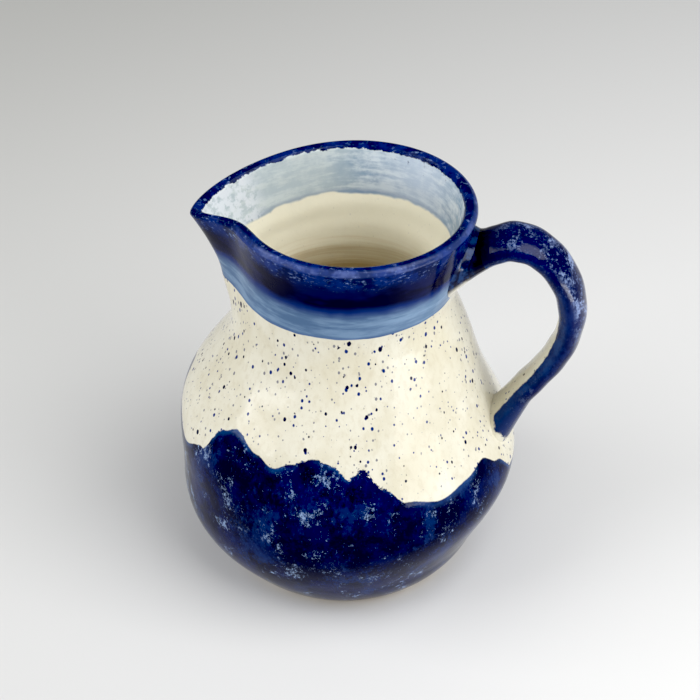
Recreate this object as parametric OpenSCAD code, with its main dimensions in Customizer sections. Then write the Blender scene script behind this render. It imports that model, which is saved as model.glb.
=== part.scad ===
// Hand-thrown ceramic pitcher: one thrown vessel with a pulled spout, one pulled strap
// handle luted on with two slip joints, and the glaze coats that cover them.
//
// Frame: origin at the centre of the foot, on the surface the pitcher stands on.
// +Z is up, the handle points along +X and the spout roughly along -X.
//
// The vessel and every coat on it share one surface, wall_point(angle, station, lift).
// A station runs along the wall's section: 0 to 1 up the outside, 1 to 2 over the lip,
// 2 to 3 down the inside to the middle of the floor. Lift is the distance off the clay.

/* [Vessel] */
// Height of the rim above the table
height = 165; // [140:1:190]
// Diameter of the foot
foot_d = 91; // [78:1:100]
// Largest diameter of the belly
belly_d = 136; // [122:1:150]
// Height of the widest point of the belly
belly_z = 49; // [42:1:60]
// Outer diameter at the narrowest point of the neck
neck_d = 84; // [76:1:94]
// Height of the narrowest point of the neck
neck_z = 129; // [118:1:130]
// Outer diameter of the rim away from the spout
rim_d = 93; // [86:1:104]
// Distance that the rim leans off the foot's axis towards the handle
rim_shift = 6; // [0:0.5:7]
// Sideways wander of the thrown belly off the foot's axis
wander = 2; // [0:0.25:3]
// Wall thickness at the belly
wall_t = 5; // [4:0.5:7]
// Thickness of the rounded lip
lip_t = 4.4; // [3.6:0.2:5.4]
// Thickness of the floor
floor_t = 7; // [5:0.5:10]

// Height of the turned bevel at the edge of the foot
foot_bevel = 2; // [1:0.5:3]

/* [Spout] */
// How far the tip of the spout is pulled out beyond the rim
spout_pull = 17; // [8:1:20]
// Half width of the spout on its steeper -Y side, in degrees around the rim
spout_near = 11; // [9:1:24]
// Half width of the spout on its softer +Y side, in degrees around the rim
spout_far = 32; // [20:1:36]
// Turn of the spout away from straight opposite the handle, in degrees
spout_turn = 8; // [-10:1:12]
// How far the tip of the spout dips below the rim
spout_dip = 4.5; // [0:0.5:6]
// Height at which the throat of the spout starts to swell
throat_z = 110; // [100:1:125]

/* [Handle] */
// Height of the middle of the upper seat of the handle on the neck
upper_seat_z = 144; // [138:1:148]
// Height of the middle of the lower seat of the handle on the belly
lower_seat_z = 69; // [66:1:76]
// Reach of the handle's centre line from the foot's axis
handle_reach = 90; // [84:0.5:96]
// Width of the strap at the top of the handle
strap_w = 21.5; // [16:0.5:24]
// Thickness of the strap at the top of the handle
strap_t = 12; // [9:0.5:14]
// Width and thickness at the lower end, as a share of those at the top
strap_taper = 0.8; // [0.65:0.05:1]
// Width of the slip fillet that lutes each end of the handle
fillet_w = 4; // [3:0.5:6]

/* [Glaze] */
// Thickness of each glaze coat
glaze_t = 0.5; // [0.4:0.1:0.8]
// Height of the lower edge of the dark rim glaze on the outside
rim_glaze_z = 146; // [143:1:150]
// Height of the lower edge of the pale collar on the outside
collar_z = 132; // [128:1:138]
// Height of the lower edge of the pale wash on the inside
wash_z = 145; // [132:1:150]
// Height above the table at which the glaze on the outside ends
glaze_end_z = 3; // [2.5:0.5:5]
// Shift of the whole wave line up or down the belly
wave_lift = 0; // [-8:1:8]

/* [Hidden] */

clay_colour = "bisque";
cream_colour = "cornsilk";
cobalt_colour = "midnightblue";
pale_colour = "lightsteelblue";

// Crests and troughs of the painted wave line: angle from the handle, height
WAVE = [[0, 50], [12, 54], [28, 62], [44, 74], [60, 84], [74, 74], [90, 70],
    [104, 80], [120, 86], [134, 78], [150, 68], [166, 78], [182, 84], [196, 72],
    [209, 66], [224, 73], [232, 85], [238, 88], [250, 83], [257, 80], [264, 83],
    [272, 86], [279, 84], [285, 79], [290, 82], [297, 74], [303, 67], [316, 63],
    [328, 65], [338, 67], [345, 61], [354, 51]];

// Exponents that shape the three parts of the outline
swell = 0.8;
shoulder = 1.1;
flare = 1.7;

foot_r = foot_d / 2;
belly_r = belly_d / 2;
neck_r = neck_d / 2;
rim_r = rim_d / 2;
lip_r = lip_t / 2;
wall_top = height - lip_r;
spout_angle = 180 + spout_turn;
tip_power = 1.5;
throat_power = 1.1;
lean_z = 95;
wander_z = 50;
wander_half = 29;
wander_end = [20, 120];
seat_gap = 0.05;

columns = 60;
strap_sides = 24;
strap_rings = 26;
step = 0.01;

// ---- Small helpers -------------------------------------------------------------

function clamp01(t) = min(max(t, 0), 1);
function ease(t) = let (u = clamp01(t)) u * u * (3 - 2 * u);
function mix(a, b, t) = a + (b - a) * t;
function unit(v) = v / norm(v);
function turn_between(a, b) = ((a - b + 540) % 360) - 180;

// Height along a list of [angle, height] crests and troughs that closes on itself
function along(list, angle) =
    let (n = len(list),
        a = ((angle % 360) + 360) % 360,
        i = max([for (k = [0 : n - 1]) list[k][0] <= a ? k : 0]),
        p = list[i],
        q = i + 1 < n ? list[i + 1] : [list[0][0] + 360, list[0][1]])
    mix(p[1], q[1], ease((a - p[0]) / (q[0] - p[0])));

// Point on a smooth curve through a list of points, t from 0 to 1
function spline(points, t) =
    let (last = len(points) - 1,
        s = clamp01(t) * last,
        i = min(floor(s), last - 1),
        f = s - i,
        p1 = points[i],
        p2 = points[i + 1],
        p0 = i > 0 ? points[i - 1] : 2 * p1 - p2,
        p3 = i + 2 <= last ? points[i + 2] : 2 * p2 - p1)
    0.5 * (2 * p1 + (p2 - p0) * f + (2 * p0 - 5 * p1 + 4 * p2 - p3) * f * f
        + (3 * p1 - p0 - 3 * p2 + p3) * f * f * f);

// ---- The thrown wall ------------------------------------------------------------

// Outer radius of the wall before the spout is pulled
function outline_r(z) =
    z < belly_z ? mix(foot_r, belly_r, pow(sin(90 * z / belly_z), swell))
    : z < neck_z
        ? mix(belly_r, neck_r, ease(pow((z - belly_z) / (neck_z - belly_z), shoulder)))
    : mix(neck_r, rim_r, pow((z - neck_z) / (height - neck_z), flare));

// Inner radius of the wall: a rounded bowl below the belly, a near parallel wall above
function inside_r(z) =
    z < belly_z
        ? (belly_r - wall_t) * pow(sin(90 * (z - floor_t) / (belly_z - floor_t)), 0.5)
    : outline_r(z) - mix(wall_t, lip_t, (z - belly_z) / (wall_top - belly_z));

// Station on the outside, or on the inside, at a height
function outside_at(z) = z / wall_top;
function inside_at(z) = 2 + (wall_top - z) / (wall_top - floor_t);

// Section of the wall at a station, as [radius, height]
function section(s) =
    s <= 1
        ? let (z = s * wall_top)
            [outline_r(z) - foot_bevel * (1 - clamp01(z / foot_bevel)) / 2, z]
    : s < 2
        ? let (a = 180 * (s - 1))
            [outline_r(wall_top) - lip_r + lip_r * cos(a), wall_top + lip_r * sin(a)]
    : let (z = max(wall_top - (s - 2) * (wall_top - floor_t), floor_t))
        [inside_r(z), z];

// Pull of the spout, 0 to 1, at an angle off the spout's middle
function spout_share(angle) =
    let (off = turn_between(angle, spout_angle))
    exp(-pow(off > 0 ? off / spout_near : -off / spout_far, tip_power));

// How far the wall's centre wanders towards the handle at a height
function centre_x(z) =
    rim_shift * ease((z - lean_z) / (height - lean_z))
        + wander * cos(180 * (z - wander_z) / wander_half)
        * ease(z / wander_end[0]) * (1 - ease((z - wander_end[1]) / wander_end[0]));

// Point on the clay, with the spout pulled out and the rim leaning to the handle
function clay_point(angle, s) =
    let (p = section(s),
        share = spout_share(angle),
        pull = pow(clamp01((p[1] - throat_z) / (height - throat_z)), throat_power),
        r = p[0] + spout_pull * pull * share)
    [r * cos(angle) + centre_x(p[1]), r * sin(angle), p[1] - spout_dip * pull * pull * share];

// Direction away from the clay at a point of the wall
function clay_normal(angle, s) =
    let (a = clay_point(angle + 1, s) - clay_point(angle - 1, s),
        b = clay_point(angle, s + step) - clay_point(angle, s - step))
    unit(cross(a, b));

function wall_point(angle, s, lift) =
    clay_point(angle, s) + lift * clay_normal(angle, s);

// ---- Closed meshes ---------------------------------------------------------------

// Faces between rings of the same length; the rings close on themselves
function tube_faces(rings, sides) =
    [for (j = [0 : rings - 2]) for (i = [0 : sides - 1])
        let (k = (i + 1) % sides)
        each [[j * sides + i, j * sides + k, (j + 1) * sides + k],
            [j * sides + i, (j + 1) * sides + k, (j + 1) * sides + i]]];

// Solid through rings of points, each end closed by a fan to a middle point
module capped_tube(rings, first, last) {
    sides = len(rings[0]);
    n = len(rings);
    points = concat([for (ring = rings) each ring], [first, last]);
    start_cap = [for (i = [0 : sides - 1]) [n * sides, (i + 1) % sides, i]];
    end_cap = [for (i = [0 : sides - 1])
        [n * sides + 1, (n - 1) * sides + i, (n - 1) * sides + (i + 1) % sides]];
    polyhedron(points, concat(tube_faces(n, sides), start_cap, end_cap));
}

// Solid whose rings form a loop, so it closes on itself both ways
module looped_tube(rings) {
    sides = len(rings[0]);
    polyhedron([for (ring = rings) each ring],
        [for (j = [0 : len(rings) - 1]) for (i = [0 : sides - 1])
            let (k = (i + 1) % sides, m = (j + 1) % len(rings))
            each [[j * sides + i, j * sides + k, m * sides + k],
                [j * sides + i, m * sides + k, m * sides + i]]]);
}

// Share of full thickness of the coats: they thin to a film under the handle's seats
function seat_share(angle, z) =
    let (across = turn_between(angle, 0) / 57.3 * outline_r(z),
        upper = norm([across / (strap_w * 0.62 + fillet_w),
            (z - upper_seat_z) / (strap_t * 0.72 + fillet_w)]),
        lower = norm([across / (strap_w * strap_taper * 0.55 + fillet_w),
            (z - lower_seat_z) / (strap_t * strap_taper * 0.95 + fillet_w)]))
    ease((min(upper, lower) - 0.95) / 0.15);

function coat_lift(angle, s) =
    s > 1 ? glaze_t : mix(seat_gap, glaze_t, seat_share(angle, s * wall_top));

// Coat around the whole wall, through the stations that rows(angle) gives
module coat(rows) {
    rings = [for (i = [0 : columns - 1])
        let (a = -360 * i / columns, down = rows(a), last = len(down) - 1)
        concat([for (s = down) wall_point(a, s, 0)],
            [for (j = [last : -1 : 0]) wall_point(a, down[j], coat_lift(a, down[j]))])];
    looped_tube(rings);
}

// ---- Pieces of clay --------------------------------------------------------------

// Stations of the vessel's rings. Its coats use the same ones, so they lie flat on it.
LOWER = [for (z = [6, 12, 19, 26, 34, 42]) outside_at(z)];
UPPER = [for (k = [0 : 14]) mix(outside_at(belly_z), 1, k / 14)];
LIP = [for (k = [1 : 5]) 1 + k / 6];
INSIDE = [for (k = [0 : 12]) mix(2, inside_at(belly_z), k / 12)];
BOWL = [for (z = [42, 34, 26, 19, 14, 10, 8]) inside_at(z)];

function part_of(list, from, to) = [for (k = [from : to]) list[k]];
function steps(a, b, n) = [for (k = [0 : n]) mix(a, b, k / n)];

module vessel() {
    stations = concat([0, outside_at(foot_bevel)], LOWER, UPPER, LIP, INSIDE, BOWL);
    rings = [for (s = stations)
        [for (i = [0 : columns - 1]) clay_point(-360 * i / columns, s)]];
    color(clay_colour) capped_tube(rings, [0, 0, 0], [0, 0, floor_t]);
}

// Centre line of the handle in the plane of the handle, as [reach, height]
neck_x = clay_point(0, outside_at(upper_seat_z))[0];
belly_x = clay_point(0, outside_at(lower_seat_z))[0];
HANDLE_PATH = [
    [neck_x, upper_seat_z],
    [neck_x + 10, 150.5],
    [handle_reach - 23, 154.5],
    [handle_reach - 12.5, 151],
    [handle_reach - 3.5, 139.5],
    [handle_reach, 124.5],
    [handle_reach - 2.5, 110.5],
    [handle_reach - 9, 97.5],
    [belly_x + 8.5, 85],
    [belly_x, lower_seat_z]];

// Half width and half thickness of the strap; both grow where it meets the vessel
function strap_size(t) =
    let (ends = 1 + 0.2 * pow(1 - clamp01(t / 0.12), 2) + 0.2 * pow(clamp01((t - 0.88) / 0.12), 2),
        taper = mix(1, strap_taper, t))
    [strap_w / 2 * ends * taper, strap_t / 2 * ends * taper];

// Section of the strap at an angle around it: 0 across, 90 on the outer side.
// The outer side is crowned and the inner side is flatter.
function strap_offset(t, around, lift) =
    let (size = strap_size(t),
        c = cos(around),
        s = sin(around),
        flat = s < 0 ? 0.82 : 1)
    [(size[0] + lift) * c, (size[1] + lift) * s * flat];

// Point on a seat of the handle: the strap's section laid on the vessel's wall
function seat_point(seat_z, stretch, offset, lift) =
    let (z = seat_z + offset[1] * stretch,
        angle = offset[0] / outline_r(seat_z) * 57.3)
    wall_point(angle, outside_at(z), lift);

upper_stretch = 1.2;
lower_stretch = -1.2;
upright_share = 0.16;
lower_inward = [-0.92, -0.39];

// The strap's sections stand square to its path, and turn along the wall as they near a seat
function strap_point(t, around, lift) =
    let (o = strap_offset(t, around, lift))
    t <= 0 ? seat_point(upper_seat_z, upper_stretch, o, seat_gap)
    : t >= 1 ? seat_point(lower_seat_z, lower_stretch, o, seat_gap)
    : let (p = spline(HANDLE_PATH, t),
        d = unit(spline(HANDLE_PATH, t + step) - spline(HANDLE_PATH, t - step)),
        free = ease(min(t, 1 - t) / upright_share),
        across = unit(mix(t < 0.5 ? [1, 0] : lower_inward, d, free)),
        tall = o[1] * mix(abs(t < 0.5 ? upper_stretch : lower_stretch), 1, free))
    [p[0] - across[1] * tall, o[0], p[1] + across[0] * tall];

function strap_ring(t, lift) =
    [for (k = [0 : strap_sides - 1]) strap_point(t, -360 * k / strap_sides, lift)];

module handle() {
    color(clay_colour)
        capped_tube([for (j = [0 : strap_rings]) strap_ring(j / strap_rings, 0)],
            wall_point(0, outside_at(upper_seat_z), seat_gap),
            wall_point(0, outside_at(lower_seat_z), seat_gap));
}

// Slip fillet around one end of the handle. Its section runs from the corner between
// strap and wall, out along the wall, back up the strap's side with a hollow face, and
// down the strap's own rings: dir is 1 at the top end and -1 at the lower end.
module slip_joint(t, dir, seat_z, stretch) {
    rings = [for (k = [0 : strap_sides - 1])
        let (around = dir * 360 * k / strap_sides,
            corner = seat_point(seat_z, stretch, strap_offset(t, around, 0), seat_gap),
            foot = seat_point(seat_z, stretch, strap_offset(t, around, fillet_w), seat_gap),
            middle = strap_point(t + dir / strap_rings, around, 0),
            top = strap_point(t + 2 * dir / strap_rings, around, 0),
            hollow = (middle * 2 + foot + top) / 4)
        [corner, foot, mix(foot, hollow, 0.6), hollow, mix(hollow, top, 0.6), top, middle]];
    looped_tube(rings);
}

module upper_handle_joint() {
    color(clay_colour) slip_joint(0, 1, upper_seat_z, upper_stretch);
}

module lower_handle_joint() {
    color(clay_colour) slip_joint(1, -1, lower_seat_z, lower_stretch);
}

// ---- Glaze coats -----------------------------------------------------------------

function wave_z(angle) = along(WAVE, angle) + wave_lift;

// The liner is one thin bowl, so it closes over the floor
module liner_glaze() {
    down = concat(steps(inside_at(wash_z), INSIDE[4], 2), part_of(INSIDE, 5, 12), BOWL);
    last = len(down) - 1;
    ring = function (s, lift)
        [for (i = [0 : columns - 1]) wall_point(-360 * i / columns, s, lift)];
    under = [for (j = [last : -1 : 0]) ring(down[j], 0)];
    over = [for (s = down) ring(s, glaze_t)];
    color(cream_colour)
        capped_tube(concat(under, over), [0, 0, floor_t], [0, 0, floor_t + glaze_t]);
}

module inner_wash() {
    color(pale_colour) coat(function (a) steps(2, inside_at(wash_z), 3));
}

module rim_glaze() {
    color(cobalt_colour)
        coat(function (a) concat(steps(outside_at(rim_glaze_z), 1, 3), LIP, [2]));
}

module collar_wash() {
    color(pale_colour)
        coat(function (a) steps(outside_at(collar_z), outside_at(rim_glaze_z), 2));
}

module cream_glaze() {
    color(cream_colour)
        coat(function (a) concat(steps(outside_at(wave_z(a)), UPPER[7], 5),
            part_of(UPPER, 8, 9), [outside_at(collar_z)]));
}

module wave_glaze() {
    color(cobalt_colour)
        coat(function (a) concat([outside_at(glaze_end_z)], LOWER,
            steps(UPPER[0], outside_at(wave_z(a)), 3)));
}

// Coat along the handle between two angles around the strap, in steps of its sides
module strap_coat(from, to) {
    spans = (to - from) * strap_sides / 360;
    around = [for (k = [0 : spans]) mix(from, to, k / spans)];
    rings = [for (j = [1 : strap_rings - 1])
        let (t = j / strap_rings)
        concat([for (a = around) strap_point(t, a, 0)],
            [for (k = [spans : -1 : 0]) strap_point(t, around[k], glaze_t)])];
    sides = 2 * spans + 2;
    last = (len(rings) - 1) * sides;
    start_cap = [for (k = [0 : spans - 1]) [k + 1, k, sides - 1 - k, sides - 2 - k]];
    end_cap = [for (face = start_cap) [for (k = [3 : -1 : 0]) last + face[k]]];
    polyhedron([for (ring = rings) each ring],
        concat(tube_faces(len(rings), sides), start_cap, end_cap));
}

module handle_glaze() {
    color(cobalt_colour) strap_coat(-30, 210);
}

module handle_cream_glaze() {
    color(cream_colour) strap_coat(210, 330);
}

vessel();
handle();
upper_handle_joint();
lower_handle_joint();
liner_glaze();
inner_wash();
rim_glaze();
collar_wash();
cream_glaze();
wave_glaze();
handle_glaze();
handle_cream_glaze();
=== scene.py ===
import math

import bpy
import numpy as np
from mathutils import Matrix, Vector


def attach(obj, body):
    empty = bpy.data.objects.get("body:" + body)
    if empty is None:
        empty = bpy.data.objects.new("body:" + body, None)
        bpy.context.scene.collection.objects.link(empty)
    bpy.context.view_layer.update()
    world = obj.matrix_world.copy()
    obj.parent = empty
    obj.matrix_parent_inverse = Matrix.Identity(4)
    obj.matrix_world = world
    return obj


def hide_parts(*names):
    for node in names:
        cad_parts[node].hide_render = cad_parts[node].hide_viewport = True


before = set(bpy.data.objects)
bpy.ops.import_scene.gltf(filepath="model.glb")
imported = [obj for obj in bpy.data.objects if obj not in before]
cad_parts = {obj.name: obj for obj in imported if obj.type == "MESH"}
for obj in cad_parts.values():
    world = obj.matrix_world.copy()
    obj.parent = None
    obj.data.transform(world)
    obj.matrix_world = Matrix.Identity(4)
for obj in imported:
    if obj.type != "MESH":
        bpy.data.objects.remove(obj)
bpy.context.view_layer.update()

SCENE = bpy.context.scene
MM = 0.001

# ---- The thrown wall, by the same formulas as the CAD vessel, in millimetres -----------

HEIGHT, FOOT_R, BELLY_R, BELLY_Z = 165.0, 45.5, 68.0, 49.0
NECK_R, NECK_Z, RIM_R = 42.0, 129.0, 46.5
RIM_SHIFT, WANDER, WALL_T, LIP_T, FLOOR_T, FOOT_BEVEL = 6.0, 2.0, 5.0, 4.4, 7.0, 2.0
SPOUT_PULL, SPOUT_NEAR, SPOUT_FAR, SPOUT_TURN, SPOUT_DIP = 17.0, 11.0, 32.0, 8.0, 4.5
THROAT_Z = 110.0
LIP_R = LIP_T / 2
WALL_TOP = HEIGHT - LIP_R
GLAZE_T, GLAZE_GAP = 0.5, 0.03      # The gap keeps a coat's underside off the clay's face
RIM_GLAZE_Z, COLLAR_Z, WASH_Z, GLAZE_END_Z = 146.0, 132.0, 145.0, 3.0

# Crests and troughs of the painted wave line: angle from the handle, height
WAVE = [(0, 50), (12, 54), (28, 62), (44, 74), (60, 84), (74, 74), (90, 70), (104, 80),
        (120, 86), (134, 78), (150, 68), (166, 78), (182, 84), (196, 72), (209, 66),
        (224, 73), (232, 85), (238, 88), (250, 83), (257, 80), (264, 83), (272, 86),
        (279, 84), (285, 79), (290, 82), (297, 74), (303, 67), (316, 63), (328, 65),
        (338, 67), (345, 61), (354, 51), (360, 50)]

# Middle and width, in degrees anticlockwise from the handle, of the sponged wave edge, painted
# light on the inner wash at the back right, and a paler stretch of the collar
SPONGED_EDGE, PAINTED_LIGHT_INSIDE, PALE_OUTSIDE = (291.0, 6.5), (60.0, 28.0), (325.0, 22.0)
# The same in degrees past the spout: the brush's thin stretch, and the white dabs in the spout
THIN_TURN, THIN_FAR, DABS, DABS_FAR = -20.0, 130.0, (-24.0, 14.0), 40.0
FAR_ABOVE = 99.0                    # Height over the wave line given to the lip and inside


def clamp01(t):
    return np.clip(t, 0.0, 1.0)


def ease(t):
    u = clamp01(t)
    return u * u * (3 - 2 * u)


def mix(a, b, t):
    return a + (b - a) * t


def wave_z(angle):
    """Height of the wave line at angles in degrees, anticlockwise from the handle."""
    a = np.mod(angle, 360.0)
    xs = np.array([p[0] for p in WAVE], float)
    zs = np.array([p[1] for p in WAVE], float)
    i = np.clip(np.searchsorted(xs, a, side="right") - 1, 0, len(xs) - 2)
    return mix(zs[i], zs[i + 1], ease((a - xs[i]) / (xs[i + 1] - xs[i])))


def outline_r(z):
    z = np.asarray(z, float)
    low = mix(FOOT_R, BELLY_R, np.sin(np.radians(90 * clamp01(z / BELLY_Z))) ** 0.8)
    mid = clamp01((z - BELLY_Z) / (NECK_Z - BELLY_Z)) ** 1.1
    top = clamp01((z - NECK_Z) / (HEIGHT - NECK_Z)) ** 1.7
    return np.where(z < BELLY_Z, low,
                    np.where(z < NECK_Z, mix(BELLY_R, NECK_R, ease(mid)), mix(NECK_R, RIM_R, top)))


def inside_r(z):
    bowl = np.sin(np.radians(90 * clamp01((z - FLOOR_T) / (BELLY_Z - FLOOR_T)))) ** 0.5
    wall = outline_r(z) - mix(WALL_T, LIP_T, (z - BELLY_Z) / (WALL_TOP - BELLY_Z))
    return np.where(z < BELLY_Z, (BELLY_R - WALL_T) * bowl, wall)


def outside_at(z):
    return np.asarray(z, float) / WALL_TOP


def inside_at(z):
    return 2 + (WALL_TOP - np.asarray(z, float)) / (WALL_TOP - FLOOR_T)


def section(s):
    """Radius and height at a station: 0-1 up the outside, 1-2 over the lip, 2-3 down inside."""
    s = np.asarray(s, float)
    z_out = np.minimum(s, 1) * WALL_TOP
    r_out = outline_r(z_out) - FOOT_BEVEL * (1 - clamp01(z_out / FOOT_BEVEL)) / 2
    a = np.radians(180 * np.clip(s - 1, 0, 1))
    top_r = outline_r(WALL_TOP)
    r_lip, z_lip = top_r - LIP_R + LIP_R * np.cos(a), WALL_TOP + LIP_R * np.sin(a)
    z_in = np.maximum(WALL_TOP - (s - 2) * (WALL_TOP - FLOOR_T), FLOOR_T)
    r = np.where(s <= 1, r_out, np.where(s < 2, r_lip, inside_r(z_in)))
    return r, np.where(s <= 1, z_out, np.where(s < 2, z_lip, z_in))


def spout_off(angle):
    """Degrees past the middle of the spout, from -180 to 180."""
    return np.mod(angle - (180 + SPOUT_TURN) + 540, 360) - 180


def clay_point(angle, s):
    r, z = section(s)
    off = spout_off(angle)
    share = np.exp(-np.where(off > 0, off / SPOUT_NEAR, -off / SPOUT_FAR) ** 1.5)
    pull = clamp01((z - THROAT_Z) / (HEIGHT - THROAT_Z)) ** 1.1
    centre = (RIM_SHIFT * ease((z - 95) / (HEIGHT - 95))
              + WANDER * np.cos(np.radians(180 * (z - 50) / 29))
              * ease(z / 20) * (1 - ease((z - 120) / 20)))
    a = np.radians(angle)
    r = r + SPOUT_PULL * pull * share
    return np.stack([r * np.cos(a) + centre, r * np.sin(a), z - SPOUT_DIP * pull ** 2 * share], -1)


def unit(v):
    return v / np.maximum(np.linalg.norm(v, axis=-1, keepdims=True), 1e-12)


def across(point, angle, s, da=0.5, ds=0.004):
    """Unit normal of a surface point(angle, s), by central differences."""
    a = point(angle + da, s) - point(angle - da, s)
    b = point(angle, s + ds) - point(angle, s - ds)
    return unit(np.cross(a, b))


def wall_point(angle, s, lift):
    normal = across(clay_point, angle, s, 1, 0.01)
    return clay_point(angle, s) + np.asarray(lift)[..., None] * normal


def relief(angle, s):
    """Thickness of the fired glaze: the thrower's rings and soft unevenness read through it."""
    z = section(s)[1]
    a = np.radians(angle)
    outer = (0.012 * np.sin(z / 1.6 + a) + 0.02 * np.sin(z / 4 - 2 * a + 1)
             + 0.08 * np.sin(3 * a + z / 15) * np.sin(z / 14 + 2))
    inner = 0.08 * np.sin(z / 1.6 + a) + 0.07 * np.sin(z / 2.7 - a + 2)
    fade = clamp01((s - 2) / 0.12)
    return GLAZE_T + np.where(s <= 1, outer * clamp01((1 - s) / 0.06), inner * fade)


def glazed_point(angle, s):
    return wall_point(angle, s, relief(angle, s))


# ---- Meshes -----------------------------------------------------------------------------

def new_mesh(name, points, faces, normals=None, attributes=None):
    mesh = bpy.data.meshes.new(name)
    mesh.from_pydata((np.asarray(points) * MM).tolist(), [], faces)
    mesh.polygons.foreach_set("use_smooth", [True] * len(mesh.polygons))
    for key, values in (attributes or {}).items():
        layer = mesh.attributes.new(key, "FLOAT", "POINT")
        layer.data.foreach_set("value", np.asarray(values, np.float32).ravel())
    mesh.update()
    if normals is not None:
        mesh.normals_split_custom_set_from_vertices(np.asarray(normals).tolist())
    obj = bpy.data.objects.new(name, mesh)
    SCENE.collection.objects.link(obj)
    return obj


def grid_faces(rows, cols, start=0, flip=False):
    """Quads between rings of points; each ring closes on itself."""
    faces = []
    for j in range(rows - 1):
        for i in range(cols):
            k = (i + 1) % cols
            quad = [start + j * cols + i, start + j * cols + k,
                    start + (j + 1) * cols + k, start + (j + 1) * cols + i]
            faces.append(quad[::-1] if flip else quad)
    return faces


def wall_attributes(angle, s):
    """What the glaze materials read at each vertex."""
    z = section(s)[1]
    turn = spout_off(angle)

    def near(place):
        middle, width = place
        return np.exp(-((np.mod(angle - middle + 540, 360) - 180) / width) ** 2)
    return {"height": z, "inner": (s > 1.5).astype(float), "station": s,
            "above_wave": np.where(s <= 1, z - wave_z(angle), FAR_ABOVE),
            "from_brush": np.minimum(np.abs(turn - THIN_TURN), THIN_FAR),
            "from_spout": np.minimum(np.maximum(DABS[0] - turn, turn - DABS[1]), DABS_FAR),
            "painted_light_inside": near(PAINTED_LIGHT_INSIDE), "pale_outside": near(PALE_OUTSIDE),
            "sponged": near(SPONGED_EDGE)}


COLS, CLAY_COLS = 300, 240


def coat(name, stations, closed=False):
    """A glaze coat: a thin shell over the clay, through stations(angles)[row][column].

    Its ends are walled, or with closed, the last ring runs to the middle of the floor.
    """
    angle = np.linspace(0, 360, COLS, endpoint=False)[None, :]
    s = stations(angle)
    angle = np.broadcast_to(angle, s.shape)
    outer, normal = glazed_point(angle, s), across(glazed_point, angle, s)
    inner = wall_point(angle, s, np.full(s.shape, GLAZE_GAP))
    rows = s.shape[0]
    n = rows * COLS
    points = np.concatenate([outer.reshape(-1, 3), inner.reshape(-1, 3)])
    normals = np.concatenate([normal.reshape(-1, 3), -normal.reshape(-1, 3)])
    faces = grid_faces(rows, COLS) + grid_faces(rows, COLS, n, flip=True)
    for ring, flip in ((0, True), (rows - 1, False)):
        if closed and ring:
            break
        for i in range(COLS):
            k = (i + 1) % COLS
            a, b = ring * COLS + i, ring * COLS + k
            quad = [a, b, n + b, n + a]
            faces.append(quad[::-1] if flip else quad)
    attributes = wall_attributes(angle, s)
    attributes = {k: np.concatenate([v.ravel(), v.ravel()]) for k, v in attributes.items()}
    if closed:
        last = (rows - 1) * COLS
        middle = [[0, 0, FLOOR_T + GLAZE_T], [0, 0, FLOOR_T + GLAZE_GAP]]
        points = np.concatenate([points, middle])
        normals = np.concatenate([normals, [[0, 0, 1], [0, 0, -1]]])
        for i in range(COLS):
            k = (i + 1) % COLS
            faces.append([last + i, last + k, 2 * n])
            faces.append([n + last + k, n + last + i, 2 * n + 1])
        for key, v in attributes.items():
            attributes[key] = np.concatenate([v, v[last:last + 1], v[last:last + 1]])
    return new_mesh(name, points, faces, normals, attributes)


def spread(a, b, count):
    """Rows of stations from a to b, each a number or an array over the columns."""
    t = np.linspace(0, 1, count)[:, None]
    return mix(np.atleast_1d(a), np.atleast_1d(b), t)


def level(s0, s1, count):
    return lambda angle: np.broadcast_to(spread(s0, s1, count), (count, angle.shape[1])).copy()


def vessel_body():
    """The clay itself: one closed wall from the foot over the lip to the floor."""
    cols = CLAY_COLS
    angle = np.linspace(0, 360, cols, endpoint=False)[None, :]
    s = np.concatenate([[0, outside_at(0.6), outside_at(1.3)],
                        outside_at(np.linspace(2, 160, 80)), np.linspace(1, 2, 14),
                        inside_at(np.linspace(160, 9, 70)), [inside_at(8)]])
    s = np.broadcast_to(s[:, None], (len(s), cols))
    angle = np.broadcast_to(angle, s.shape)
    points = clay_point(angle, s)
    n = len(s) * cols
    last = n - cols
    points = np.concatenate([points.reshape(-1, 3), [[0, 0, 0], [0, 0, FLOOR_T]]])
    faces = grid_faces(len(s), cols)
    for i in range(cols):
        k = (i + 1) % cols
        faces.append([n, k, i])
        faces.append([n + 1, last + i, last + k])
    obj = new_mesh("vessel_clay", points, faces)
    ring = [e.index for e in obj.data.edges if max(e.vertices) < cols and n not in e.vertices]
    for e in ring:
        obj.data.edges[e].use_edge_sharp = True
    return obj


# ---- The handle --------------------------------------------------------------------------

UPPER_SEAT_Z, LOWER_SEAT_Z, HANDLE_REACH = 144.0, 69.0, 90.0
STRAP_W, STRAP_T, STRAP_TAPER, STRAP_RINGS = 21.5, 12.0, 0.8, 26
UPPER_STRETCH, LOWER_STRETCH, UPRIGHT_SHARE = 1.2, -1.2, 0.16
UPPER_OUTWARD, LOWER_INWARD = np.array([1.0, 0.0]), np.array([-0.92, -0.39])
NECK_X = clay_point(0.0, outside_at(UPPER_SEAT_Z))[0]
BELLY_X = clay_point(0.0, outside_at(LOWER_SEAT_Z))[0]
HANDLE_PATH = np.array([
    (NECK_X, UPPER_SEAT_Z), (NECK_X + 10, 150.5), (HANDLE_REACH - 23, 154.5),
    (HANDLE_REACH - 12.5, 151), (HANDLE_REACH - 3.5, 139.5), (HANDLE_REACH, 124.5),
    (HANDLE_REACH - 2.5, 110.5), (HANDLE_REACH - 9, 97.5), (BELLY_X + 8.5, 85),
    (BELLY_X, LOWER_SEAT_Z)])
# The strap's coats end inside the joints, a little short of the path's ends
COAT_ENDS, COAT_ROWS, COAT_STEP = (0.018, 0.982), 180, 2.5
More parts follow.
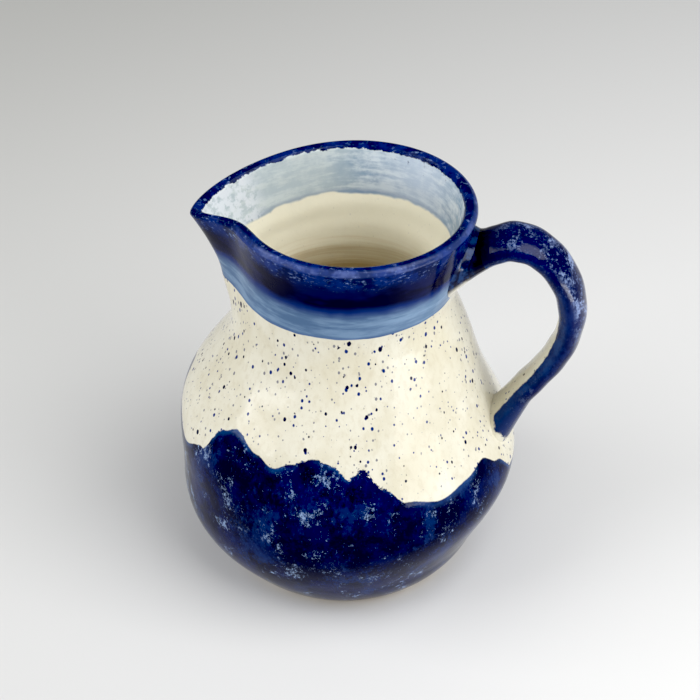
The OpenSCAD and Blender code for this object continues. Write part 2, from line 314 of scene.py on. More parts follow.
# Slip at the joints, in mm: how far it stands on the strap and wall, and how deep it runs
SLIP_OVER, SLIP_FOOT, SLIP_UNDER, SLIP_DEEP = 0.05, 0.56, 0.1, -1.0
CORNER_WIDER, CORNER_LIFT, CORNER_UP, JOINT_ROWS, JOINT_COLS = 0.8, 0.9, 0.3, 22, 120
RADIAN = 57.3                       # Degrees


def spline(t):
    """Smooth curve through HANDLE_PATH, t from 0 to 1."""
    last = len(HANDLE_PATH) - 1
    s = clamp01(t) * last
    i = np.minimum(np.floor(s).astype(int), last - 1)
    f = (s - i)[..., None]
    ends = np.concatenate([[2 * HANDLE_PATH[0] - HANDLE_PATH[1]], HANDLE_PATH,
                           [2 * HANDLE_PATH[-1] - HANDLE_PATH[-2]]])
    p0, p1, p2, p3 = ends[i], ends[i + 1], ends[i + 2], ends[i + 3]
    return 0.5 * (2 * p1 + (p2 - p0) * f + (2 * p0 - 5 * p1 + 4 * p2 - p3) * f ** 2
                  + (3 * p1 - p0 - 3 * p2 + p3) * f ** 3)


def strap_path(t):
    """The path with its small changes of bend evened out."""
    shares = ((-0.045, 1), (-0.03, 2), (-0.015, 3), (0.0, 4), (0.015, 3), (0.03, 2), (0.045, 1))
    fade = np.minimum(1, np.minimum(t, 1 - t) / 0.045)
    return sum(w * spline(t + d * fade) for d, w in shares) / 16


def strap_offset(t, around, lift):
    """Half breadth and half thickness of the strap towards around; its two ends are thicker."""
    ends = 1 + 0.2 * (1 - clamp01(t / 0.12)) ** 2 + 0.2 * clamp01((t - 0.88) / 0.12) ** 2
    taper = mix(1, STRAP_TAPER, t)
    c, s = np.cos(np.radians(around)), np.sin(np.radians(around))
    wide = STRAP_W / 2 * ends * taper + lift
    tall = STRAP_T / 2 * ends * taper + lift
    return wide * c, tall * s * np.where(s < 0, 0.82, 1)


def strap_point(t, around, lift):
    """Point on the strap: around is 0 at one edge, 90 on the outer side, 270 on the inner."""
    wide, tall = strap_offset(t, around, lift)
    p = strap_path(t)
    d = unit(strap_path(np.minimum(t + 0.01, 1)) - strap_path(np.maximum(t - 0.01, 0)))
    free = ease(np.minimum(t, 1 - t) / UPRIGHT_SHARE)[..., None]
    straight = np.where((t < 0.5)[..., None], UPPER_OUTWARD, LOWER_INWARD)
    d = unit(mix(straight, d, free))
    tall = tall * mix(UPPER_STRETCH, 1, free[..., 0])
    return np.stack([p[..., 0] - d[..., 1] * tall, wide, p[..., 1] + d[..., 0] * tall], -1)


def seat_point(seat_z, stretch, t, around, wider, lift):
    """Where the strap's section, made wider, meets the wall, lifted off the clay."""
    wide, tall = strap_offset(t, around, wider)
    z = seat_z + tall * stretch
    angle = wide / outline_r(seat_z) * RADIAN
    return wall_point(angle, outside_at(z), np.broadcast_to(lift, z.shape))


def strap_relief(t, around):
    """Uneven squeeze of a pulled strap: a soft ridge and shallow finger marks."""
    a = np.radians(around)
    return (0.14 * np.sin(9 * t * math.pi + 2 * a) * np.sin(5 * t + 1)
            + 0.10 * np.sin(23 * t * math.pi - a) + 0.10 * np.cos(4 * (a - 1.2)))


def strap_coat(name, start, end):
    """A glaze coat along the strap, from one angle around it to another."""
    rows, cols = COAT_ROWS, int((end - start) / COAT_STEP)
    t = np.broadcast_to(np.linspace(*COAT_ENDS, rows)[:, None], (rows, cols + 1))
    around = np.broadcast_to(np.linspace(start, end, cols + 1)[None, :], t.shape)

    def skin(a, s):
        return strap_point(s, a, GLAZE_T + strap_relief(s, a))
    outer = skin(around, t)
    normal = across(skin, around, t, 1.0, 0.004)
    inner = strap_point(t, around, strap_relief(t, around))
    n = rows * (cols + 1)
    faces = []
    for j in range(rows - 1):
        for i in range(cols):
            a = j * (cols + 1) + i
            b = a + cols + 1
            faces.append([a, a + 1, b + 1, b])
            faces.append([n + a, n + b, n + b + 1, n + a + 1])
        for i, flip in ((0, True), (cols, False)):
            a = j * (cols + 1) + i
            b = a + cols + 1
            quad = [a, n + a, n + b, b]
            faces.append(quad[::-1] if flip else quad)
    for j, flip in ((0, True), (rows - 1, False)):
        for i in range(cols):
            a = j * (cols + 1) + i
            quad = [a, a + 1, n + a + 1, n + a]
            faces.append(quad[::-1] if flip else quad)
    normals = np.concatenate([normal.reshape(-1, 3), -normal.reshape(-1, 3)])
    points = np.concatenate([outer.reshape(-1, 3), inner.reshape(-1, 3)])
    attributes = {"along": np.tile(t.ravel(), 2), "around": np.tile(around.ravel(), 2)}
    return new_mesh(name, points, faces, normals, attributes)


def slip_joint(name, t_end, direction, seat_z, stretch, reach, flare):
    """Fillet of clay slip from the strap's side out over the wall, with a hollow face."""
    rows, cols = JOINT_ROWS, JOINT_COLS
    around = np.broadcast_to(np.linspace(0, 360, cols, endpoint=False)[None, :], (rows, cols))
    t_top = np.full((1, cols), t_end + direction * reach / STRAP_RINGS)
    a0 = around[:1]
    t_seat, wide = np.full_like(a0, t_end), flare(a0)
    start = strap_point(t_top, a0, GLAZE_T + strap_relief(t_top, a0) + SLIP_OVER)
    up = strap_point(t_top - direction * 0.03, a0, GLAZE_T + CORNER_UP)
    corner = seat_point(seat_z, stretch, t_seat, a0, CORNER_WIDER, CORNER_LIFT)
    foot = seat_point(seat_z, stretch, t_seat, a0, wide, SLIP_FOOT)
    corner = 0.5 * corner + 0.5 * up
    k = np.linspace(0, 1, rows)[:, None, None]
    skin = (1 - k) ** 2 * start + 2 * k * (1 - k) * corner + k ** 2 * foot
    under = seat_point(seat_z, stretch, t_seat, a0, wide, SLIP_UNDER)
    deep = strap_point(t_top, a0, SLIP_DEEP)
    points = np.concatenate([skin.reshape(-1, 3), under.reshape(-1, 3), deep.reshape(-1, 3)])
    flip = direction > 0
    faces = grid_faces(rows + 2, cols, flip=flip)
    last = (rows + 1) * cols
    for i in range(cols):
        j = (i + 1) % cols
        quad = [last + i, last + j, j, i]
        faces.append(quad[::-1] if flip else quad)
    share = np.concatenate([np.broadcast_to(k[..., 0], (rows, cols)).ravel(), np.ones(2 * cols)])
    attributes = {"share": share, "around": np.tile(a0.ravel(), rows + 2),
                  "along": np.full(share.shape, t_end)}
    obj = new_mesh(name, points, faces, attributes=attributes)
    creases = {0, rows - 1, rows, rows + 1}
    for e in obj.data.edges:
        r0, r1 = e.vertices[0] // cols, e.vertices[1] // cols
        if r0 == r1 and r0 in creases:
            e.use_edge_sharp = True
    return obj


# ---- Materials ---------------------------------------------------------------------------

class Glaze:
    """A node material, with short calls that take numbers, colours or sockets alike."""

    def __init__(self, name, roughness=0.12, shine=0.5):
        self.mat = bpy.data.materials.new(name)
        self.mat.use_nodes = True
        self.tree = self.mat.node_tree
        self.bsdf = self.tree.nodes["Principled BSDF"]
        self.bsdf.inputs["Roughness"].default_value = roughness
        self.bsdf.inputs["IOR"].default_value = 1.5
        self.bsdf.inputs["Specular IOR Level"].default_value = shine
        self.place = self.node("ShaderNodeTexCoord").outputs["Object"]

    def node(self, kind, **settings):
        node = self.tree.nodes.new(kind)
        for key, value in settings.items():
            setattr(node, key, value)
        return node

    def feed(self, socket, value):
        if isinstance(value, bpy.types.NodeSocket):
            self.tree.links.new(value, socket)
        elif isinstance(value, (tuple, list)) and socket.type == "RGBA":
            socket.default_value = (*value[:3], 1)
        else:
            socket.default_value = value

    def math(self, operation, a, b=0.0):
        node = self.node("ShaderNodeMath", operation=operation)
        self.feed(node.inputs[0], a)
        self.feed(node.inputs[1], b)
        return node.outputs[0]

    def add(self, a, b):
        return self.math("ADD", a, b)

    def sub(self, a, b):
        return self.math("SUBTRACT", a, b)

    def mul(self, a, b):
        return self.math("MULTIPLY", a, b)

    def step(self, value, low, high):
        """0 below low and 1 above high, smooth between; high below low turns it round."""
        node = self.node("ShaderNodeMapRange", interpolation_type="SMOOTHSTEP")
        if high < low:
            low, high, ends = high, low, (1.0, 0.0)
        else:
            ends = (0.0, 1.0)
        self.feed(node.inputs["Value"], value)
        node.inputs["From Min"].default_value = low
        node.inputs["From Max"].default_value = high
        node.inputs["To Min"].default_value, node.inputs["To Max"].default_value = ends
        return node.outputs["Result"]

    def attr(self, name):
        return self.node("ShaderNodeAttribute", attribute_name=name).outputs["Fac"]

    def stretch(self, x, y, z):
        """Object coordinates in millimetres, each times a factor."""
        node = self.node("ShaderNodeVectorMath", operation="MULTIPLY")
        self.tree.links.new(self.place, node.inputs[0])
        node.inputs[1].default_value = (x / MM, y / MM, z / MM)
        return node.outputs[0]

    def noise(self, size, detail=3.0, rough=0.55, warp=0.0, stretch=(1, 1, 1), seed=0.0):
        """Noise with features of about size millimetres, from 0 to 1."""
        node = self.node("ShaderNodeTexNoise", noise_dimensions="4D")
        k = 1.0 / size
        self.tree.links.new(self.stretch(k * stretch[0], k * stretch[1], k * stretch[2]),
                            node.inputs["Vector"])
        node.inputs["W"].default_value = seed
        node.inputs["Scale"].default_value = 1.0
        node.inputs["Detail"].default_value = detail
        node.inputs["Roughness"].default_value = rough
        node.inputs["Distortion"].default_value = warp
        return node.outputs["Fac"]

    def dots(self, size, stretch=(1, 1, 1), seed=0.0):
        """Distance in mm to the nearest of scattered points, and a random number for that point."""
        node = self.node("ShaderNodeTexVoronoi", voronoi_dimensions="3D", feature="F1")
        k = 1.0 / size
        shifted = self.node("ShaderNodeVectorMath", operation="ADD")
        self.tree.links.new(self.stretch(k * stretch[0], k * stretch[1], k * stretch[2]),
                            shifted.inputs[0])
        shifted.inputs[1].default_value = (seed, seed * 1.7, seed * 0.6)
        self.tree.links.new(shifted.outputs[0], node.inputs["Vector"])
        node.inputs["Scale"].default_value = 1.0
        pick = self.node("ShaderNodeSeparateColor")
        self.tree.links.new(node.outputs["Color"], pick.inputs[0])
        return self.mul(node.outputs["Distance"], size), pick.outputs[0]

    def blend(self, share, a, b):
        """Colour a where share is 0 and b where it is 1."""
        node = self.node("ShaderNodeMix", data_type="RGBA")
        self.feed(node.inputs["Factor"], share)
        self.feed(node.inputs[6], a)
        self.feed(node.inputs[7], b)
        return node.outputs[2]

    def finish(self, colour, height=None, depth=0.1, roughness=None):
        self.feed(self.bsdf.inputs["Base Color"], colour)
        if roughness is not None:
            self.feed(self.bsdf.inputs["Roughness"], roughness)
        if height is not None:
            bump = self.node("ShaderNodeBump")
            bump.inputs["Strength"].default_value = 1.0
            bump.inputs["Distance"].default_value = depth * MM
            self.feed(bump.inputs["Height"], height)
            self.tree.links.new(bump.outputs[0], self.bsdf.inputs["Normal"])
        return self.mat


# Linear colours of the glazes and the clay
CREAM_LIGHT, CREAM_WARM = (0.72, 0.695, 0.585), (0.64, 0.60, 0.465)
CREAM_SHADE = (0.53, 0.475, 0.34)
SPECK, SPECK_BLUE, SPECK_FAINT = (0.006, 0.008, 0.035), (0.015, 0.035, 0.18), (0.22, 0.22, 0.24)
COBALT, COBALT_DEEP = (0.0020, 0.006, 0.060), (0.0012, 0.0018, 0.020)
COBALT_CLOUD, COBALT_DUST = (0.010, 0.032, 0.140), (0.10, 0.18, 0.40)
COBALT_FLECK, WAVE_FRINGE = (0.30, 0.42, 0.66), (0.030, 0.085, 0.250)
FOOT_TINT, FOOT_STREAK, FOOT_LINE = (0.020, 0.028, 0.075), (0.34, 0.42, 0.58), (0.004, 0.004, 0.02)
COLLAR_DARK, COLLAR_PALE = (0.090, 0.158, 0.278), (0.230, 0.345, 0.500)
COLLAR_TOP, COLLAR_EDGE = (0.012, 0.030, 0.150), (0.05, 0.10, 0.25)
BAND_DARK, BAND_BLUE = (0.007, 0.007, 0.022), (0.009, 0.012, 0.062)
LIP_DARK, LIP_BLUE = (0.004, 0.010, 0.060), (0.009, 0.026, 0.150)
# The second lip colour here is a painted highlight for the top of the lip's roll
LIP_SCRATCH, LIP_CROWN_HIGHLIGHT = (0.24, 0.34, 0.62), (0.15, 0.20, 0.46)
WASH_DARK, WASH_PALE, WASH_THIN = (0.25, 0.36, 0.48), (0.64, 0.71, 0.75), (0.66, 0.72, 0.70)
WASH_LIT, WASH_LINE, WASH_DAB = (0.72, 0.80, 0.92), (0.22, 0.30, 0.42), (0.80, 0.84, 0.88)
# The liner's second colour is painted shade for down inside the neck
LINER, LINER_PAINTED_SHADE = (1.0, 0.95, 0.76), (0.62, 0.45, 0.21)
STRAP_BLUE, STRAP_ROOT = (0.0028, 0.010, 0.090), (0.0015, 0.002, 0.016)
STRAP_TIP, STRAP_STREAK = (0.022, 0.050, 0.150), (0.014, 0.050, 0.180)
STRAP_FLECK = (0.30, 0.40, 0.68)
SLIP_DARK, SLIP_WASH = (0.0015, 0.0015, 0.012), (0.003, 0.007, 0.040)
SLIP_PALE, SLIP_GROOVE_SHADE = (0.016, 0.045, 0.140), (0.002, 0.003, 0.020)
CLAY_LIGHT, CLAY_DARK, CLAY_GRIT = (0.62, 0.54, 0.43), (0.52, 0.43, 0.32), (0.30, 0.23, 0.16)


def cream_colour(g, specks=1.0):
    """Cream glaze: cloudy warm white, with cobalt and iron specks in loose clusters."""
    cloud = g.step(g.noise(26, 3, seed=1), 0.40, 0.62)
    fine = g.step(g.noise(2.2, 4, 0.7, stretch=(1, 1, 0.5), seed=2), 0.45, 0.70)
    colour = g.blend(g.mul(cloud, 0.8), CREAM_LIGHT, CREAM_WARM)
    colour = g.blend(g.mul(fine, 0.35), colour, CREAM_SHADE)
    crowd = g.step(g.noise(24, 2, 0.5, seed=3), 0.40, 0.60)
    jitter = g.mul(g.sub(g.noise(1.3, 2, seed=4), 0.5), 0.5)
    for size, radius, ink, seed in ((2.0, 0.54, SPECK_FAINT, 5.0), (2.7, 0.72, SPECK_BLUE, 9.0),
                                    (3.9, 0.90, SPECK, 13.0), (8.5, 1.25, SPECK, 21.0)):
        away, pick = g.dots(size, (1, 1, 0.7), seed)
        reach = g.mul(g.mul(pick, g.add(0.55, g.mul(crowd, 0.45))), radius * specks)
        inked = g.step(g.sub(g.add(away, jitter), reach), 0.12, -0.06)
        colour = g.blend(inked, colour, ink)
    return colour


def cobalt_colour(g, flecks=1.0):
    """Sponged cobalt: dark pools, lighter clouds and clusters of pale flecks."""
    colour = g.blend(g.step(g.noise(15, 7, 0.75, seed=31), 0.45, 0.57), COBALT_DEEP, COBALT)
    dab = g.noise(2.0, 6, 0.8, stretch=(1, 1, 0.6), seed=34)
    bright = g.add(g.mul(g.sub(g.noise(14, 4, 0.65, stretch=(1, 1, 0.7), seed=33), 0.5), 1.3), dab)
    colour = g.blend(g.mul(g.step(bright, 0.50, 0.72), 0.7), colour, COBALT_CLOUD)
    crowd = g.sub(g.noise(9, 3, 0.6, stretch=(1, 1, 0.8), seed=35), 0.5)
    fine = g.noise(1.4, 8, 0.85, warp=0.4, stretch=(1, 1, 0.8), seed=36)
    fleck = g.step(g.add(fine, g.mul(crowd, 0.8)), 0.60, 0.68)
    colour = g.blend(g.mul(fleck, 0.8 * flecks), colour, COBALT_FLECK)
    dust = g.step(g.noise(0.9, 3, 0.7, stretch=(1, 1, 0.6), seed=37), 0.60, 0.70)
    return g.blend(g.mul(dust, 0.4), colour, COBALT_DUST)


def vessel_glazes():
    """All the glazes on the thrown wall, which run into each other at soft, ragged edges."""
    g = Glaze("vessel_glazes", shine=0.11)
    height, inner = g.attr("height"), g.attr("inner")
    above, from_spout = g.attr("above_wave"), g.attr("from_spout")
    cream, cobalt = cream_colour(g), cobalt_colour(g)

    # Lower belly: cobalt with a lighter brushed fringe, ragged in places
    loose = g.add(g.mul(g.step(g.noise(30, 1, seed=42), 0.5, 0.62), 4.0),
                  g.mul(g.attr("sponged"), 12.0))
    ragged = g.mul(g.sub(g.noise(2.0, 5, 0.75, seed=41), 0.5), g.add(0.8, loose))
    edge = g.add(above, ragged)
    fringe = g.mul(g.step(edge, -3.2, -0.4), g.step(g.noise(16, 3, seed=43), 0.40, 0.6))
    wave = g.blend(g.mul(fringe, 0.6), cobalt, WAVE_FRINGE)
    low = g.step(g.add(height, g.mul(g.noise(20, 2, seed=44), 6)), 17, 9)
    streaks = g.step(g.noise(2.6, 5, 0.7, stretch=(0.35, 0.35, 1.3), seed=45), 0.56, 0.64)
    wave = g.blend(g.mul(low, 0.45), wave, FOOT_TINT)
    wave = g.blend(g.mul(g.mul(low, streaks), 0.65), wave, FOOT_STREAK)
    wave = g.blend(g.step(height, 5.0, 4.2), wave, FOOT_LINE)
    outside = g.blend(g.step(edge, 0.25, -0.25), cream, wave)

    # Collar: pale blue brushed round the neck
    brush = g.noise(3.2, 4, 0.62, stretch=(0.14, 0.14, 1.2), seed=51)
    blotch = g.noise(12, 3, 0.6, stretch=(0.6, 0.6, 1), seed=52)
    tone = g.step(g.add(g.mul(brush, 0.6), g.mul(blotch, 0.4)), 0.42, 0.60)
    tone = g.add(g.mul(tone, 0.65), g.mul(g.attr("pale_outside"), 0.45))
    collar = g.blend(tone, COLLAR_DARK, COLLAR_PALE)
    wobble = g.mul(g.sub(g.noise(9, 2, seed=53), 0.5), 3.0)
    soft = g.add(height, wobble)
    collar = g.blend(g.step(soft, 140.5, 146.0), collar, COLLAR_TOP)
    collar = g.blend(g.mul(g.step(height, 133.6, 132.4), 0.5), collar, COLLAR_EDGE)
    outside = g.blend(g.step(g.add(height, g.mul(wobble, 0.4)), 131.9, 132.2), outside, collar)

    # Dark band under the lip, and the lip itself: rubbed and scratched, with a painted highlight
    # along the top of its roll
    band = g.blend(g.step(g.noise(10, 3, 0.6, stretch=(0.4, 0.4, 1), seed=61), 0.45, 0.60),
                   BAND_DARK, BAND_BLUE)
    outside = g.blend(g.step(soft, 145.2, 148.6), outside, band)
    scratch = g.step(g.noise(1.5, 4, 0.7, stretch=(0.7, 0.7, 1.4), seed=62), 0.54, 0.68)
    wear_and_sheen = g.step(g.noise(9, 3, 0.6, seed=63), 0.44, 0.60)
    lip = g.blend(g.step(g.noise(7, 4, 0.65, seed=64), 0.42, 0.60), LIP_DARK, LIP_BLUE)
    lip = g.blend(g.mul(g.mul(scratch, g.add(0.4, wear_and_sheen)), 0.55), lip, LIP_SCRATCH)
    # Painted highlight along the top of the lip's roll, patchy, and kept off the spout
    crown_highlight = g.mul(g.step(g.attr("station"), 0.985, 1.10), g.step(g.attr("station"), 1.45, 1.25))
    crown_highlight = g.mul(crown_highlight, g.step(from_spout, -5.0, 30.0))
    lip = g.blend(g.mul(crown_highlight, g.add(0.2, g.mul(wear_and_sheen, 0.4))), lip, LIP_CROWN_HIGHLIGHT)
    outside = g.blend(g.step(g.add(height, g.mul(wobble, 1.3)), 155.0, 160.5), outside, lip)

    # Inside: rubbed lip, streaky pale wash with painted light at the back right, then the cream
    # liner with painted shade lower down
    streak = g.noise(3.0, 4, 0.65, stretch=(0.2, 0.2, 1.1), seed=71)
    sponge = g.noise(6, 4, 0.65, seed=72)
    tone = g.step(g.add(g.mul(streak, 0.6), g.mul(sponge, 0.4)), 0.42, 0.60)
    wash = g.blend(tone, WASH_DARK, WASH_PALE)
    near = g.step(g.add(g.attr("from_brush"), g.mul(g.noise(8, 3, seed=76), 30)), 95.0, 60.0)
    wash = g.blend(g.mul(near, 0.65), wash, WASH_THIN)
    # Painted light: the inner wash lighter at the back right, where light falls into the neck
    wash = g.blend(g.mul(g.attr("painted_light_inside"), 0.6), wash, WASH_LIT)
    wash = g.blend(g.mul(g.step(height, 148.0, 145.4), 0.6), wash, WASH_LINE)
    patch = g.step(from_spout, 12.0, 0.0)
    dab = g.step(g.noise(3.2, 4, 0.65, seed=73), 0.40, 0.54)
    wash = g.blend(g.mul(patch, g.mul(dab, 0.9)), wash, WASH_DAB)
    liner = g.blend(0.85, cream_colour(g, 0.55), LINER)
    # Painted shade: the liner darker and warmer down inside the neck, between about 74 and 130 mm,
    # with a ringed upper edge
    rings = g.mul(g.sub(g.noise(2.2, 2, stretch=(0.05, 0.05, 1), seed=77), 0.5), 40.0)
    deep = g.mul(g.step(g.add(height, rings), 130.0, 94.0), g.step(height, 44.0, 74.0))
    liner = g.blend(g.mul(deep, 0.85), liner, LINER_PAINTED_SHADE)
    wash_low = g.add(height, g.mul(g.sub(g.noise(14, 3, seed=74), 0.5), 5.0))
    inside = g.blend(g.step(wash_low, 144.4, 145.6), liner, wash)
    rubbed = g.add(g.mul(g.sub(g.noise(3.5, 4, 0.7, seed=75), 0.5), 0.5), g.mul(near, 0.12))
    inside = g.blend(g.step(g.add(g.attr("station"), rubbed), 1.97, 1.92), inside, lip)
    colour = g.blend(g.step(inner, 0.4, 0.6), outside, inside)

    rough = g.add(0.05, g.mul(g.noise(5, 3, seed=81), 0.07))
    bumps = g.add(g.noise(7, 3, 0.5, seed=82), g.mul(g.noise(0.9, 2, seed=83), 0.25))
    return g.finish(colour, bumps, 0.14, rough)


def handle_glazes(name, start=0.0):
    """Cobalt over the strap's back and sides, cream on its inner face, for any piece of it.

    With start, the slip of a joint turns cream from that share of its width outwards.
    """
    g = Glaze(name, shine=0.25)
    around, along = g.attr("around"), g.attr("along")
    blue = g.blend(0.45, cobalt_colour(g, 0.35), STRAP_BLUE)
    ragged = g.mul(g.sub(g.noise(3, 3, 0.6, seed=96), 0.5), 14)
    dense = g.mul(g.step(along, 0.14, 0.26), g.step(along, 0.70, 0.50))
    ridge = g.mul(g.step(around, 45.0, 80.0), g.step(around, 165.0, 135.0))
    sponge = g.noise(1.2, 7, 0.85, seed=91)
    crowd = g.sub(g.noise(7, 3, 0.6, seed=92), 0.5)
    pale = g.mul(g.mul(dense, ridge), g.step(g.add(sponge, g.mul(crowd, 0.6)), 0.52, 0.60))
    blue = g.blend(g.mul(g.step(along, 0.20, 0.08), 0.7), blue, STRAP_ROOT)
    blue = g.blend(g.mul(g.step(along, 0.84, 0.94), 0.35), blue, STRAP_TIP)
    streak = g.step(g.noise(2.5, 4, 0.65, stretch=(0.5, 0.5, 0.5), seed=97), 0.46, 0.62)
    side = g.mul(g.step(around, 176.0, 205.0), g.add(0.35, g.mul(streak, 0.5)))
    blue = g.blend(side, blue, STRAP_STREAK)
    blue = g.blend(g.mul(pale, 0.75), blue, STRAP_FLECK)
    edge = g.add(g.add(around, ragged), g.mul(g.step(along, 0.55, 0.85), 14.0))
    inner = g.mul(g.step(edge, 237.0, 242.0), g.step(g.add(around, ragged), 333.0, 328.0))
    colour = g.blend(inner, blue, cream_colour(g, 0.8))
    if start:
        share = g.attr("share")
        tip = g.add(share, g.mul(g.sub(g.noise(3, 3, seed=98), 0.5), 0.5))
        colour = g.blend(g.step(tip, start - 0.06, start + 0.06), colour, cream_colour(g, 0.8))
    rough = g.add(0.08, g.mul(g.noise(5, 3, seed=93), 0.10))
    bumps = g.add(g.noise(6, 3, 0.5, seed=94), g.mul(g.noise(0.9, 2, seed=95), 0.25))
    return g.finish(colour, bumps, 0.16, rough)


def upper_joint_glaze():
    """Thin blue slip round the strap's root, with tooled marks where the tool pressed it in,
    painted dark as the shade in their grooves.
    """
    g = Glaze("upper_joint_glaze", shine=0.25)
    around, share = g.attr("around"), g.attr("share")
    warp = g.mul(g.sub(g.noise(6, 3, seed=102), 0.5), 0.5)
    level = g.add(share, warp)
    tone = g.step(g.noise(3, 5, 0.65, seed=101), 0.42, 0.60)
    washed = g.blend(tone, SLIP_WASH, SLIP_PALE)
    colour = g.blend(g.step(level, 0.15, 0.60), SLIP_DARK, washed)
    # Painted shade along the two tool marks, where their grooves would be dark
    for middle in (0.42, 0.78):
        line = g.step(g.math("ABSOLUTE", g.sub(level, middle)), 0.07, 0.03)
        colour = g.blend(g.mul(line, 0.85), colour, SLIP_GROOVE_SHADE)
    below = g.mul(g.step(around, 195.0, 225.0), g.step(around, 345.0, 315.0))
    colour = g.blend(g.mul(below, g.step(level, 0.38, 0.50)), colour, cream_colour(g, 0.8))
    bumps = g.add(g.noise(4, 3, 0.5, seed=103), g.mul(g.noise(0.9, 2, seed=104), 0.25))
    return g.finish(colour, bumps, 0.25)


def clay_material():
    """Bare buff stoneware, matt and gritty."""
    g = Glaze("bare_clay", 0.8)
    grit = g.noise(0.8, 4, 0.7, seed=111)
    colour = g.blend(g.step(g.noise(9, 3, seed=112), 0.35, 0.65), CLAY_LIGHT, CLAY_DARK)
    colour = g.blend(g.mul(g.step(grit, 0.6, 0.75), 0.5), colour, CLAY_GRIT)
    return g.finish(colour, grit, 0.08)


# ---- Build the pieces ----------------------------------------------------------------------

GLAZES = vessel_glazes()
CLAY = clay_material()


UPPER_FLARE, UPPER_FLARE_BELOW, LOWER_FLARE, SLIP_REACH = 3.6, 2.6, 1.3, 2.6
LOWER_CREAM_FROM = 0.85


def place(obj, material, slot, node):
    """Give a piece its material, and put it in the place of a CAD node."""
    obj.data.materials.append(material)
    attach(obj, "root")
    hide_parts(node)


def wave_stations(angle):
    return spread(outside_at(GLAZE_END_Z), outside_at(wave_z(angle[0])), 64)


def cream_stations(angle):
    return spread(outside_at(wave_z(angle[0])), outside_at(COLLAR_Z), 54)


def rim_stations(angle):
    return np.concatenate([level(outside_at(RIM_GLAZE_Z), 1, 20)(angle),
                           level(1, 2, 22)(angle)[1:]])


def liner_stations(angle):
    """Down the wall, then closer together where it turns into the floor."""
    return np.concatenate([level(inside_at(WASH_Z), inside_at(45), 66)(angle),
                           level(inside_at(45), inside_at(12), 28)(angle)[1:],
                           level(inside_at(12), inside_at(7.6), 8)(angle)[1:]])


place(vessel_body(), CLAY, "clay", "vessel")
place(coat("wave_glaze_coat", wave_stations), GLAZES, "cobalt_glaze", "wave_glaze")
place(coat("cream_glaze_coat", cream_stations), GLAZES, "cream_glaze", "cream_glaze")
place(coat("collar_wash_coat", level(outside_at(COLLAR_Z), outside_at(RIM_GLAZE_Z), 14)),
      GLAZES, "pale_blue_glaze", "collar_wash")
place(coat("rim_glaze_coat", rim_stations), GLAZES, "cobalt_glaze", "rim_glaze")
place(coat("inner_wash_coat", level(2, inside_at(WASH_Z), 20)),
      GLAZES, "pale_blue_glaze", "inner_wash")
place(coat("liner_glaze_coat", liner_stations, closed=True), GLAZES, "cream_glaze", "liner_glaze")

place(strap_coat("handle_glaze_coat", -30, 210), handle_glazes("handle_cobalt"),
      "cobalt_glaze", "handle_glaze")
place(strap_coat("handle_cream_coat", 210, 330), handle_glazes("handle_cream"),
      "cream_glaze", "handle_cream_glaze")
place(slip_joint("upper_slip_joint", 0.0, 1, UPPER_SEAT_Z, UPPER_STRETCH, SLIP_REACH,
                 lambda a: UPPER_FLARE + UPPER_FLARE_BELOW * clamp01(-np.sin(np.radians(a)))),
      upper_joint_glaze(), "cobalt_glaze", "upper_handle_joint")
place(slip_joint("lower_slip_joint", 1.0, -1, LOWER_SEAT_Z, LOWER_STRETCH, SLIP_REACH,
                 lambda a: np.full_like(a, LOWER_FLARE)),
      handle_glazes("lower_joint_glaze", LOWER_CREAM_FROM),
      "cobalt_glaze", "lower_handle_joint")
# The CAD handle stays as the clay core under its glaze
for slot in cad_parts["handle"].material_slots:
    slot.link = "OBJECT"
    slot.material = CLAY

# ---- Stage, lights and camera ---------------------------------------------------------------


FLOOR_R = 4.0                       # Half the floor's side, in metres
# Floor colours: the shade colour and the near colour are painted shade
FLOOR_PALE, FLOOR_SHADE = (0.86, 0.86, 0.855), (0.58, 0.58, 0.555)
FLOOR_NEAR_SHADE, FLOOR_CLOUD = (0.60, 0.60, 0.60), (0.70, 0.70, 0.69)

# Name, degrees to the right of the front, degrees up, distance, width and height in m, watts
LIGHTS = (("key_right", 66, 54, 1.05, 0.85, 0.85, 9.4),
          ("key_left", -68, 40, 1.5, 1.1, 1.0, 9.7),
          ("window_left", -52, 10, 1.0, 0.62, 0.12, 2.6),
          ("window_right", 64, -1, 0.5, 0.30, 0.08, 0.80))
LIGHT_AIM_Z, WORLD_COLOUR, WORLD_STRENGTH = 0.08, (0.98, 0.99, 1.0, 1), 0.28
BLACK_LEVEL = (0.024, 0.024, 0.021)


def towards(azimuth, elevation):
    """Unit vector towards a place that many radians right of the front and up."""
    return Vector((math.sin(azimuth) * math.cos(elevation),
                   -math.cos(azimuth) * math.cos(elevation), math.sin(elevation)))


def floor():
    """A pale paper floor with painted shade: a little darker to the back left and close to the
    front.
    """
    mesh = bpy.data.meshes.new("floor")
    r = FLOOR_R
    mesh.from_pydata([(-r, -r, 0), (r, -r, 0), (r, r, 0), (-r, r, 0)], [], [(0, 1, 2, 3)])
    obj = bpy.data.objects.new("floor", mesh)
    SCENE.collection.objects.link(obj)
    g = Glaze("studio_floor", 0.75)
    away = g.node("ShaderNodeSeparateXYZ")
    g.tree.links.new(g.place, away.inputs[0])
    fall = g.sub(g.mul(away.outputs[1], 0.45), away.outputs[0])
    colour = g.blend(g.step(fall, -0.2, 0.62), FLOOR_PALE, FLOOR_SHADE)
    colour = g.blend(g.mul(g.step(away.outputs[1], 0.15, -0.35), 0.75), colour, FLOOR_NEAR_SHADE)
    colour = g.blend(g.mul(g.noise(60, 4, seed=121), 0.05), colour, FLOOR_CLOUD)
    mesh.materials.append(g.finish(colour))


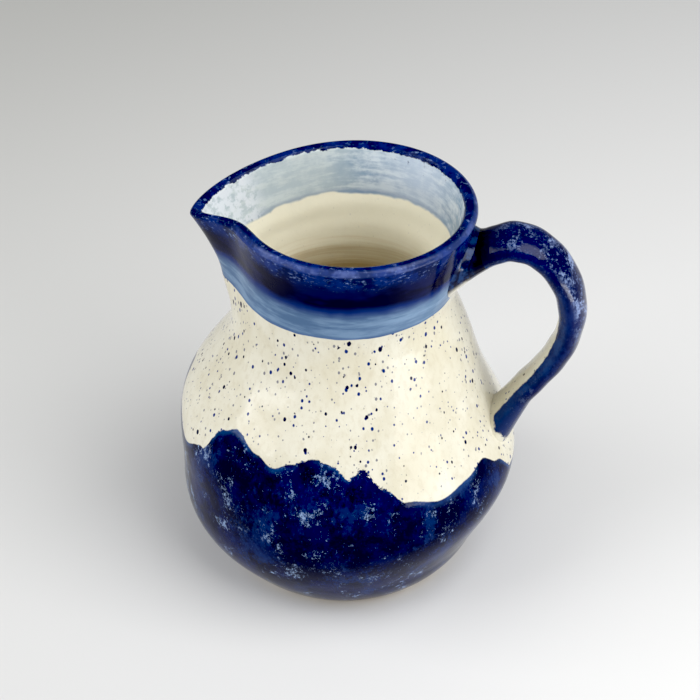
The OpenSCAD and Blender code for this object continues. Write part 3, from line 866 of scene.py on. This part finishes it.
def soft_box(name, azimuth, elevation, distance, width, height, watts):
    """An area light aimed at the middle of the pitcher."""
    light = bpy.data.lights.new(name, "AREA")
    light.shape = "RECTANGLE"
    light.size, light.size_y = width, height
    light.energy = watts
    back = towards(math.radians(azimuth), math.radians(elevation))
    obj = bpy.data.objects.new(name, light)
    obj.location = Vector((0, 0, LIGHT_AIM_Z)) + back * distance
    obj.rotation_mode = "QUATERNION"
    obj.rotation_quaternion = back.to_track_quat("Z", "Y")
    SCENE.collection.objects.link(obj)


floor()
for row in LIGHTS:
    soft_box(*row)

world = bpy.data.worlds.new("studio")
world.use_nodes = True
world.node_tree.nodes["Background"].inputs["Color"].default_value = WORLD_COLOUR
world.node_tree.nodes["Background"].inputs["Strength"].default_value = WORLD_STRENGTH
SCENE.world = world

# A crisp studio exposure: plain transform, with blacks as deep as the cobalt shows them
SCENE.view_settings.view_transform = "Standard"
SCENE.view_settings.use_curve_mapping = True
curves = SCENE.view_settings.curve_mapping
curves.black_level = BLACK_LEVEL
curves.update()

# The camera stands at the photograph's angle: 12 degrees towards the handle, 38 up
AZIMUTH, ELEVATION, ROLL = math.radians(12), math.radians(38.3), math.radians(1.0)
DISTANCE, LENS, SENSOR, CLIP = 0.7425, 94.4, 36.0, (0.01, 20)
AIM_RIGHT, AIM_UP = 0.0031, 0.00927     # Metres from the pitcher's middle to the view's middle
camera = bpy.data.objects.new("camera", bpy.data.cameras.new("camera"))
camera.data.lens, camera.data.sensor_width = LENS, SENSOR
camera.data.clip_start, camera.data.clip_end = CLIP
middle = Vector((0, 0, HEIGHT / 2 * MM))
back = towards(AZIMUTH, ELEVATION)
right = Vector((0, 0, 1)).cross(back).normalized()
camera.location = middle + back * DISTANCE
aim = middle + right * AIM_RIGHT + back.cross(right) * AIM_UP
look = (camera.location - aim).normalized()
side = Vector((0, 0, 1)).cross(look).normalized()
turned = Matrix((side, look.cross(side), look)).transposed().to_4x4()
camera.matrix_world = (Matrix.Translation(camera.location) @ turned
                       @ Matrix.Rotation(-ROLL, 4, "Z"))
SCENE.collection.objects.link(camera)
SCENE.camera = camera
